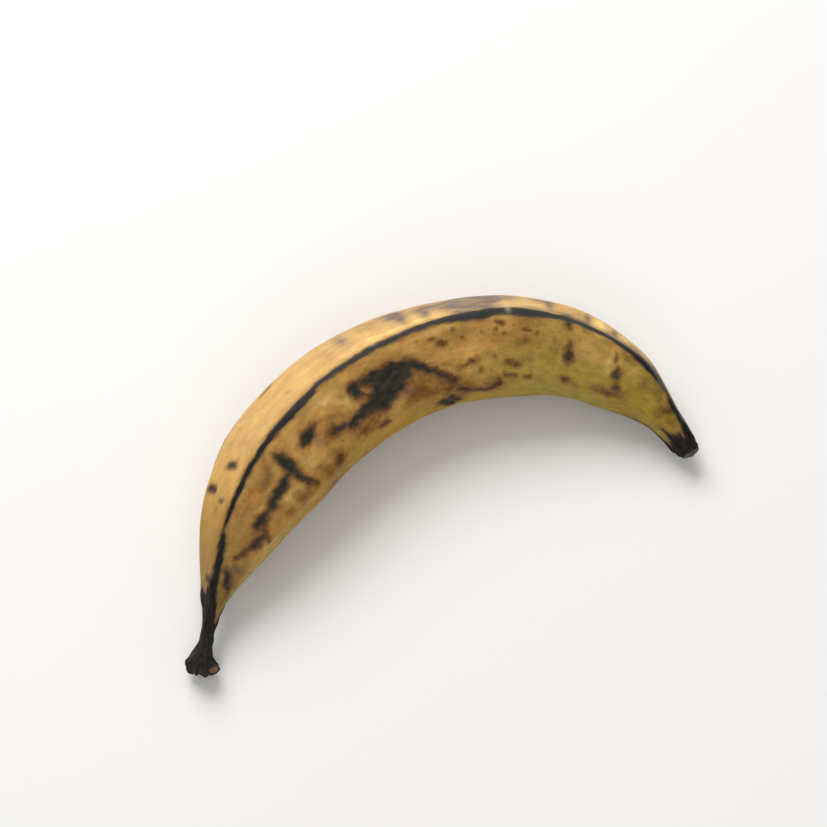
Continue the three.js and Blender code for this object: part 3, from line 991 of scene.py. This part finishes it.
remember({
    "black_depth": black_depth,
    "brown_depth": brown_depth,
    "faint_depth": faint_depth,
    "bare_depth": bare_depth,
    "ridge_depth": ridge_depth,
    "line_highlight": line_highlight,
    "haze": haze,
    "grey_haze": grey_haze,
    "dry_depth": dry_depth,
})

straight_ends = np.array([[0.0, 0, 0], [LENGTH, 0, 0]])
straight_layer = skin.attributes.new("straight", "FLOAT_VECTOR", "POINT")
straight_layer.data.foreach_set("vector", np.vstack([straight, straight_ends]).astype(np.float32).ravel())
print("stored on the skin:", [layer.name for layer in skin.attributes if not layer.name.startswith(".")])

# %% [markdown]
# The peel also changes slowly from place to place: where it is still green, where it is freckled, and on
# the outer flank, which is painted lighter, partly for its own paler tone and partly as painted light from
# the window behind. Each of these broad tints fades in between two angles, in degrees, or two stations.

# %% Broad tints
angle_up = np.degrees(turn) % 360
outer_flank = np.clip((1 - ramp(66, 82, angle_up)) + ramp(285, 320, angle_up), 0, 1)
inner_side = ramp(138, 172, angle_up) * (1 - ramp(255, 300, angle_up))
green = ramp(178, 218, station) * (0.15 + 0.25 * ramp(212, 240, station) + 0.6 * ramp(98, 134, angle_up))
green += 0.6 * ramp(150, 178, angle_up) * (1 - ramp(66, 82, station))
freckled = ramp(180, 205, station) * (1 - ramp(232, 262, station)) + 0.25

remember({
    # The outer flank mask marks where the peel is painted lighter, partly as painted light from the window
    # behind.
    "lit_flank": outer_flank,
    "inner": inner_side,
    "at_stem": (1 - ramp(38, 82, station)) * (1 - 0.85 * inner_side),
    "stemward": 1 - ramp(48, 104, station),
    "far_end": ramp(222, 246, station),
    "tipward": ramp(256, 282, station) * (1 - outer_flank),
    "line_dark": np.maximum(1 - ramp(84, 150, station), ramp(256, 276, station)),
    "green": np.clip(green, 0, 1) * (1 - outer_flank),
    "freckled": np.clip(freckled, 0, 1),
})
print("tints stored; on the inner side", round(100 * float(np.mean(inner_side))), "%")

# %% [markdown]
# ## Small helpers for materials
#
# A node tree is built by adding nodes and joining their sockets. These helpers keep each step on one
# line: an input may be a number, a colour or another node's output.

# %% Node helpers
def add_node(tree, kind, inputs=None, **settings):
    node = tree.nodes.new(kind)
    for name, value in settings.items():
        setattr(node, name, value)
    for socket, value in (inputs or {}).items():
        if isinstance(value, bpy.types.NodeSocket):
            tree.links.new(value, node.inputs[socket])
        else:
            node.inputs[socket].default_value = value
    return node


def calculate(tree, operation, *values, clamp=False):
    node = add_node(tree, "ShaderNodeMath", dict(enumerate(values)), operation=operation, use_clamp=clamp)
    return node.outputs[0]


def fade(tree, value, low, high, to_low=0.0, to_high=1.0):
    """Smoothly from one value to another while the input goes from low to high."""
    inputs = {"Value": value, "From Min": low, "From Max": high, "To Min": to_low, "To Max": to_high}
    return add_node(tree, "ShaderNodeMapRange", inputs, interpolation_type="SMOOTHSTEP").outputs[0]


def blend(tree, share, under, over, mode="MIX"):
    inputs = {0: share, 6: under, 7: over}
    return add_node(tree, "ShaderNodeMix", inputs, data_type="RGBA", blend_type=mode).outputs[2]


def lay(tree, under, over, mask, strength):
    """One colour over another inside a mask, at a given strength."""
    return blend(tree, calculate(tree, "MULTIPLY", mask, strength), under, over)


def stored(tree, name, output="Fac"):
    return add_node(tree, "ShaderNodeAttribute", attribute_name=name).outputs[output]


def noise(tree, place, scale, detail, roughness):
    inputs = {"Vector": place, "Scale": scale, "Detail": detail, "Roughness": roughness}
    return add_node(tree, "ShaderNodeTexNoise", inputs).outputs[0]


def scaled(tree, place, factors):
    """The fruit's coordinates, each times a factor; a small first factor draws noise out lengthwise."""
    return add_node(tree, "ShaderNodeVectorMath", {0: place, 1: factors}, operation="MULTIPLY").outputs[0]


def paint(red, green, blue):
    """A colour given in the 0 to 255 steps of a paint chart, as the renderer wants it."""
    shares = [channel / 255 for channel in (red, green, blue)]
    return tuple(((c + 0.055) / 1.055) ** 2.4 if c > 0.04045 else c / 12.92 for c in shares) + (1,)


def new_group(name, inputs, output):
    """A shader node group: it takes a place and named numbers, and gives one number."""
    tree = bpy.data.node_groups.new(name, "ShaderNodeTree")
    tree.interface.new_socket("Fruit Place", in_out="INPUT", socket_type="NodeSocketVector")
    for title, value in inputs.items():
        socket = tree.interface.new_socket(title, in_out="INPUT", socket_type="NodeSocketFloat")
        socket.default_value = value
    tree.interface.new_socket(output, in_out="OUTPUT", socket_type="NodeSocketFloat")
    return tree, tree.nodes.new("NodeGroupInput").outputs, tree.nodes.new("NodeGroupOutput").inputs


print("half grey of the chart:", round(paint(128, 128, 128)[0], 3))

# %% [markdown]
# ## Ragged edge
#
# Every mark on a plantain has the same kind of edge: it is dark inside, and it breaks up into small bays
# and islands at its border. This group adds noise to the depth inside a mark and cuts it off over a
# short distance. The peel, the torn foot and the blossom end all use it.

# %% Node group: ragged edge
ragged_edge, given, result = new_group(
    "ragged edge", {"Depth": 0.0, "Grain Size": 2.0, "Raggedness": 1.0, "Softness": 0.6}, "Mask"
)
edge_scale = calculate(ragged_edge, "DIVIDE", 1.0, given["Grain Size"])
edge_noise = noise(ragged_edge, given["Fruit Place"], edge_scale, detail=2.0, roughness=0.5)
centred = calculate(ragged_edge, "MULTIPLY_ADD", edge_noise, 4.0, -2.0)
ragged_depth = calculate(ragged_edge, "MULTIPLY_ADD", centred, given["Raggedness"], given["Depth"])
half_softness = calculate(ragged_edge, "MULTIPLY", given["Softness"], 0.5)
low_edge = calculate(ragged_edge, "MULTIPLY", half_softness, -1.0)
ragged_mask = fade(ragged_edge, ragged_depth, low_edge, half_softness)
ragged_edge.links.new(ragged_mask, result["Mask"])


def edged(tree, place, depth, grain_size, raggedness, softness, wider=0.0):
    """Mask of a mark, from its depth in millimetres; it may be a few millimetres wider all round."""
    if wider:
        depth = calculate(tree, "ADD", depth, wider)
    inputs = {"Fruit Place": place, "Depth": depth, "Grain Size": grain_size}
    inputs |= {"Raggedness": raggedness, "Softness": softness}
    return add_node(tree, "ShaderNodeGroup", inputs, node_tree=ragged_edge).outputs["Mask"]


print("group", ragged_edge.name, "has", len(ragged_edge.nodes), "nodes")

# %% [markdown]
# ## Lengthwise grain
#
# The fibres of the peel run from stem to blossom end. The noise is read in squeezed coordinates, so its
# spots are drawn out into streaks along the fruit.

# %% Node group: lengthwise grain
fibre_grain, given, result = new_group(
    "lengthwise grain", {"Width": 2.0, "Stretch": 6.0, "Contrast": 1.0}, "Streaks"
)
squeeze = calculate(fibre_grain, "DIVIDE", 1.0, given["Stretch"])
squeezed = add_node(fibre_grain, "ShaderNodeCombineXYZ", {"X": squeeze, "Y": 1.0, "Z": 1.0}).outputs[0]
grain_place = scaled(fibre_grain, given["Fruit Place"], squeezed)
grain_scale = calculate(fibre_grain, "DIVIDE", 1.0, given["Width"])
grain_noise = noise(fibre_grain, grain_place, grain_scale, detail=4.0, roughness=0.55)
grain_centred = calculate(fibre_grain, "SUBTRACT", grain_noise, 0.5)
grain_result = calculate(fibre_grain, "MULTIPLY_ADD", grain_centred, given["Contrast"], 0.5, clamp=True)
fibre_grain.links.new(grain_result, result["Streaks"])


def streaks(tree, place, width, stretch, contrast):
    """Lengthwise streaks from 0 to 1, with their width in millimetres."""
    inputs = {"Fruit Place": place, "Width": width, "Stretch": stretch, "Contrast": contrast}
    return add_node(tree, "ShaderNodeGroup", inputs, node_tree=fibre_grain).outputs["Streaks"]


print("group", fibre_grain.name, "has", len(fibre_grain.nodes), "nodes")

# %% [markdown]
# ## The peel
#
# From the ground up, the peel's colour is golden with slow orange and tan clouds, and olive where it is
# still green. Over that come the pale, brown and grey hazes, and fine streaks along the fibres. On top
# lie freckles, brown stains, black bruises with a reddish halo, the ridge lines, and last the dry black
# of the stem.

# %% Peel: ground colour
peel, tree, finish = new_material("ripe peel")
place = stored(tree, "straight", "Vector")
lit_flank = stored(tree, "lit_flank")
inner = stored(tree, "inner")
far_end = stored(tree, "far_end")
clouds = streaks(tree, place, width=11.0, stretch=2.4, contrast=3.0)
warm_clouds = streaks(tree, place, width=5.0, stretch=3.5, contrast=3.2)

side_gold = blend(tree, clouds, paint(198, 158, 84), paint(164, 124, 58))
warm_share = fade(tree, stored(tree, "green"), 0.0, 0.8, 0.6, 0.15)
side_gold = lay(tree, side_gold, paint(174, 112, 50), warm_clouds, warm_share)
# The outer flank is painted paler than the upper side: partly its own paler tone, partly painted light from
# the window behind.
flank_gold = blend(tree, clouds, paint(214, 174, 100), paint(200, 158, 88))
flank_gold = lay(tree, flank_gold, paint(194, 144, 94), warm_clouds, 0.4)
stem_gold = blend(tree, clouds, paint(192, 145, 54), paint(170, 123, 38))
flank_gold = blend(tree, stored(tree, "stemward"), flank_gold, stem_gold)
flank_gold = lay(tree, flank_gold, paint(206, 160, 66), far_end, 0.5)
inner_gold = blend(tree, clouds, paint(190, 148, 30), paint(166, 124, 22))
ground = blend(tree, lit_flank, side_gold, flank_gold)
ground = blend(tree, inner, ground, inner_gold)
ground = lay(tree, ground, paint(142, 108, 44), stored(tree, "at_stem"), 0.8)
print("golden ground has", len(tree.nodes), "nodes")

# %% [markdown]
# ### Green parts
#
# A plantain ripens unevenly: its far half and its inner side stay green longest. A colour ramp along the
# fruit would draw a straight border, so the stored greenness is first roughened with slow clouds.

# %% Peel: green parts and the far end
green_clouds = streaks(tree, place, width=14.0, stretch=2.0, contrast=2.0)
greenness = calculate(tree, "MULTIPLY_ADD", green_clouds, 0.5, -0.25)
greenness = calculate(tree, "ADD", greenness, stored(tree, "green"))
greenness = fade(tree, greenness, 0.05, 0.95, 0.0, 0.92)
olive = blend(tree, inner, paint(156, 132, 52), paint(162, 140, 50))
ground = blend(tree, greenness, ground, olive)
tip_gold = blend(tree, clouds, paint(168, 142, 42), paint(150, 123, 36))
ground = lay(tree, ground, tip_gold, stored(tree, "tipward"), 0.9)
print("ground with its green parts has", len(tree.nodes), "nodes")

# %% [markdown]
# ### Hazes, mottles and fine streaks
#
# Handled peel is never one even colour. The stored hazes say where it is paler, browner or rubbed grey,
# and clouds of a few millimetres break them up, so that no haze shows its round shape. Two finer grains
# then shade the whole a little: mottles, and thin streaks along the fibres.

# %% Peel: hazes, mottles and fine streaks
haze_stored = stored(tree, "haze")
haze_clouds = streaks(tree, place, width=3.2, stretch=1.5, contrast=3.2)
haze_shade = fade(tree, haze_clouds, 0.1, 0.9, 0.55, 1.3)
grey_shade = fade(tree, haze_clouds, 0.1, 0.9, 0.7, 1.15)
pale_share = calculate(tree, "MULTIPLY", haze_stored, 0.75, clamp=True)
pale_share = calculate(tree, "MULTIPLY", pale_share, haze_shade, clamp=True)
brown_share = calculate(tree, "MULTIPLY", haze_stored, -0.85, clamp=True)
brown_share = calculate(tree, "MULTIPLY", brown_share, haze_shade, clamp=True)
grey_share = calculate(tree, "MULTIPLY", stored(tree, "grey_haze"), grey_shade, clamp=True)
# The pale is painted brighter on the outer flank, as painted light there; the pale hazes also hold the
# painted sheen over the line.
pale_gold = blend(tree, lit_flank, paint(222, 182, 108), paint(240, 202, 118))
rubbed = blend(tree, far_end, paint(86, 76, 76), paint(90, 68, 44))
ground = blend(tree, pale_share, ground, pale_gold)
ground = blend(tree, brown_share, ground, paint(110, 72, 22))
ground = lay(tree, ground, rubbed, grey_share, 0.85)

mottles = streaks(tree, place, width=3.4, stretch=1.6, contrast=3.4)
mottle_darkest = fade(tree, lit_flank, 0.0, 1.0, 0.84, 0.93)
mottle_shade = fade(tree, mottles, 0.1, 0.9, mottle_darkest, 1.06)
thin_streaks = streaks(tree, place, width=1.1, stretch=9.0, contrast=2.4)
streak_shade = fade(tree, thin_streaks, 0.15, 0.85, 0.96, 1.03)
ground = blend(tree, 1.0, ground, mottle_shade, "MULTIPLY")
ground = blend(tree, 1.0, ground, streak_shade, "MULTIPLY")
print("ground with its hazes has", len(tree.nodes), "nodes")

# %% [markdown]
# ### Freckles and stains
#
# Freckles are small, round and many. Drawing each as a stroke would take hundreds, so a Voronoi texture
# scatters them, one in each cell and each of its own size. Brown hazes break up into speckles too. The
# stains and flecks were placed one by one, so they read the stored depths, and the flecks lie on a wider
# and softer brown halo.

# %% Peel: freckles and stains
FRECKLES_PER_MM = 0.24
cell_inputs = {"Vector": place, "Scale": FRECKLES_PER_MM, "Randomness": 1.0}
freckle_cells = add_node(tree, "ShaderNodeTexVoronoi", cell_inputs, feature="F1").outputs
cell_dice = add_node(tree, "ShaderNodeSeparateColor", {"Color": freckle_cells["Color"]}).outputs[0]
freckle_size = calculate(tree, "MULTIPLY", stored(tree, "freckled"), 0.17)
freckle_size = calculate(tree, "MULTIPLY", freckle_size, cell_dice)
freckle_depth = calculate(tree, "SUBTRACT", freckle_size, freckle_cells["Distance"])
freckle_depth = calculate(tree, "MULTIPLY", freckle_depth, 4.2)
freckles = edged(tree, place, freckle_depth, grain_size=1.2, raggedness=0.18, softness=0.5)
colour = lay(tree, ground, paint(116, 76, 34), freckles, 0.6)

speckle_depth = calculate(tree, "MULTIPLY_ADD", haze_stored, -1.3, -0.95)
speckles = edged(tree, place, speckle_depth, grain_size=1.5, raggedness=1.1, softness=0.9)
colour = lay(tree, colour, paint(104, 66, 24), speckles, 0.4)
faint = edged(tree, place, stored(tree, "faint_depth"), grain_size=2.0, raggedness=0.8, softness=3.0)
colour = lay(tree, colour, paint(106, 68, 20), faint, 0.5)

brown_stored = stored(tree, "brown_depth")
brown_halo = edged(tree, place, brown_stored, grain_size=2.0, raggedness=0.8, softness=2.8, wider=0.7)
brown = edged(tree, place, brown_stored, grain_size=1.6, raggedness=0.5, softness=2.2)
colour = lay(tree, colour, paint(132, 84, 24), brown_halo, 0.4)
colour = lay(tree, colour, paint(56, 34, 12), brown, 0.78)
print("peel with freckles and stains has", len(tree.nodes), "nodes")

# %% [markdown]
# ### Bruises
#
# Bruised peel dies from the middle outwards, so a bruise is black inside and reddish brown at its rim.
# A second set of strokes could draw the rim. It is simpler to read the same depth again, a millimetre
# wider and softer. The dry parts have such a rim too, with its noise drawn out along the fibres.

# %% Peel: browned edge of the dry parts, and bruises
dry_stored = stored(tree, "dry_depth")
dry_place = scaled(tree, place, (0.25, 1.0, 1.0))
dry_halo = edged(tree, dry_place, dry_stored, grain_size=2.2, raggedness=2.4, softness=5.0, wider=3.0)
colour = lay(tree, colour, paint(116, 84, 48), dry_halo, 0.6)

black_stored = stored(tree, "black_depth")
halo = edged(tree, place, black_stored, grain_size=2.4, raggedness=0.9, softness=3.6, wider=1.1)
bruise = edged(tree, place, black_stored, grain_size=1.9, raggedness=0.65, softness=3.0)
black_clouds = streaks(tree, place, width=2.2, stretch=2.5, contrast=3.0)
bruise_black = blend(tree, black_clouds, paint(24, 28, 26), paint(56, 48, 34))
colour = lay(tree, colour, paint(98, 60, 34), halo, 0.7)
colour = blend(tree, bruise, colour, bruise_black)
print("peel with bruises has", len(tree.nodes), "nodes")

# %% [markdown]
# ### Ridge lines
#
# The black on a ridge is fresh and deep near both ends, and worn to a grey between them, whose cold blue
# tint is a painted reflection of the sky. Two lines in two materials would meet in a seam. One line whose
# black changes slowly, by a stored value, has none.

# %% Peel: ridge lines
line_place = scaled(tree, place, (0.4, 1.0, 1.0))
ridge_stored = stored(tree, "ridge_depth")
ridge_halo = edged(tree, line_place, ridge_stored, grain_size=1.8, raggedness=0.6, softness=2.6, wider=0.6)
ridge = edged(tree, line_place, ridge_stored, grain_size=1.8, raggedness=0.45, softness=1.5)
line_core = fade(tree, ridge_stored, 0.5, 2.0)
# In the middle the black is worn grey, with a cold blue tint that is a painted reflection of the sky.
worn_sheened_black = blend(tree, line_core, paint(56, 52, 48), paint(36, 41, 43))
fresh_black = blend(tree, black_clouds, paint(6, 10, 12), paint(20, 22, 22))
ridge_black = blend(tree, stored(tree, "line_dark"), worn_sheened_black, fresh_black)
colour = lay(tree, colour, paint(66, 56, 46), ridge_halo, 0.5)
colour = blend(tree, ridge, colour, ridge_black)
# Painted highlights: pale grey spots laid over the black line.
colour = blend(tree, stored(tree, "line_highlight"), colour, paint(176, 160, 128))
print("peel with ridge lines has", len(tree.nodes), "nodes")

# %% [markdown]
# ### Dry stem
#
# The stem has dried to black. Brown fibres show through it lengthwise, and at the foot a small patch is
# bare where the skin was torn off. It is laid on last, because dry skin hides the marks below it.

# %% Peel: the dry stem
dry = edged(tree, dry_place, dry_stored, grain_size=1.6, raggedness=2.2, softness=2.6)
dry_fibres = streaks(tree, place, width=0.9, stretch=14.0, contrast=3.0)
dry_black = blend(tree, dry_fibres, paint(8, 11, 11), paint(38, 30, 23))
bare = edged(tree, place, stored(tree, "bare_depth"), grain_size=0.9, raggedness=0.5, softness=1.0)
bare_fibres = blend(tree, dry_fibres, paint(92, 68, 48), paint(154, 118, 88))
colour = blend(tree, dry, colour, dry_black)
colour = lay(tree, colour, bare_fibres, bare, 0.75)
print("peel colour has", len(tree.nodes), "nodes")

# %% [markdown]
# ### Gloss and pores of the peel
#
# Fresh peel has a soft waxy shine. Bruises and dry skin are duller, and the finest relief, pores and
# fibres too small for the mesh, comes from a bump.

# %% Peel: shine and fine relief
dark = calculate(tree, "MAXIMUM", bruise, ridge)
roughness = fade(tree, thin_streaks, 0.1, 0.9, 0.42, 0.52)
roughness = calculate(tree, "MULTIPLY_ADD", dark, 0.22, roughness)
roughness = calculate(tree, "MULTIPLY_ADD", dry, 0.26, roughness)

pores = noise(tree, place, scale=1.3, detail=3.0, roughness=0.6)
fine_relief = calculate(tree, "MULTIPLY_ADD", pores, 0.5, calculate(tree, "MULTIPLY", thin_streaks, 0.15))
stem_fibres = calculate(tree, "MULTIPLY", dry_fibres, dry)
fine_relief = calculate(tree, "MULTIPLY_ADD", stem_fibres, 1.6, fine_relief)
fine_relief = calculate(tree, "MULTIPLY_ADD", dark, -0.25, fine_relief)
bump_inputs = {"Strength": 0.5, "Distance": 0.00035, "Height": fine_relief}
bump = add_node(tree, "ShaderNodeBump", bump_inputs).outputs[0]

tree.links.new(colour, finish["Base Color"])
tree.links.new(roughness, finish["Roughness"])
tree.links.new(bump, finish["Normal"])
finish["Specular IOR Level"].default_value = 0.24
finish["Subsurface Weight"].default_value = 0.06
finish["Subsurface Radius"].default_value = (0.9, 0.5, 0.2)
finish["Subsurface Scale"].default_value = 0.002
print("peel material:", len(tree.nodes), "nodes")

# %% [markdown]
# ## Torn foot and dried blossom end
#
# Where the stem tore, the fibres are brown at their tips and black between them. The blossom end is
# corky: grey brown, cracked and dull. Both share the grain and ragged edge of the peel, with their own
# values.

# %% Materials of the two ends
def dry_end_material(name, pale, dark_paint, fibre_width, stretch, pale_depth):
    """Dry fibres, darker outside the bare stroke; a high pale_depth keeps them pale there too."""
    material, end_tree, end_finish = new_material(name)
    end_place = stored(end_tree, "straight", "Vector")
    grain = streaks(end_tree, end_place, fibre_width, stretch, contrast=3.2)
    depth = calculate(end_tree, "MAXIMUM", stored(end_tree, "bare_depth"), pale_depth)
    patches = edged(end_tree, end_place, depth, grain_size=2.4, raggedness=1.6, softness=1.2)
    shade = blend(end_tree, grain, dark_paint, pale)
    end_bump = add_node(end_tree, "ShaderNodeBump", {"Strength": 0.7, "Distance": 0.0005, "Height": grain})
    end_tree.links.new(blend(end_tree, patches, dark_paint, shade), end_finish["Base Color"])
    end_tree.links.new(end_bump.outputs[0], end_finish["Normal"])
    end_finish["Roughness"].default_value = 0.75
    print(name, "has", len(end_tree.nodes), "nodes")
    return material


torn_foot = dry_end_material(
    "torn foot", paint(164, 128, 98), paint(46, 36, 30), fibre_width=0.8, stretch=4.0, pale_depth=-1.3
)
blossom_end = dry_end_material(
    "dried blossom end", paint(104, 88, 72), paint(42, 38, 36), fibre_width=0.7, stretch=1.0, pale_depth=0.5
)

# %% Give each face its material
for material in (peel, torn_foot, blossom_end):
    skin.materials.append(material)
PEEL_SLOT, FOOT_SLOT, END_SLOT = range(3)
quad_slots = np.full(len(quads), PEEL_SLOT)
quad_slots[on_foot] = FOOT_SLOT
quad_slots[on_end] = END_SLOT
fan_slots = np.repeat([FOOT_SLOT, END_SLOT], COLUMNS)
skin.polygons.foreach_set("material_index", np.concatenate([quad_slots, fan_slots]).astype(np.int32))
skin.update()
skin.validate()
print("quads by material:", np.bincount(quad_slots).tolist())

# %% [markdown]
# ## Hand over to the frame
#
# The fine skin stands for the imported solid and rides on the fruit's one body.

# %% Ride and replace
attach(fruit, "root")
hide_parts("plantain")
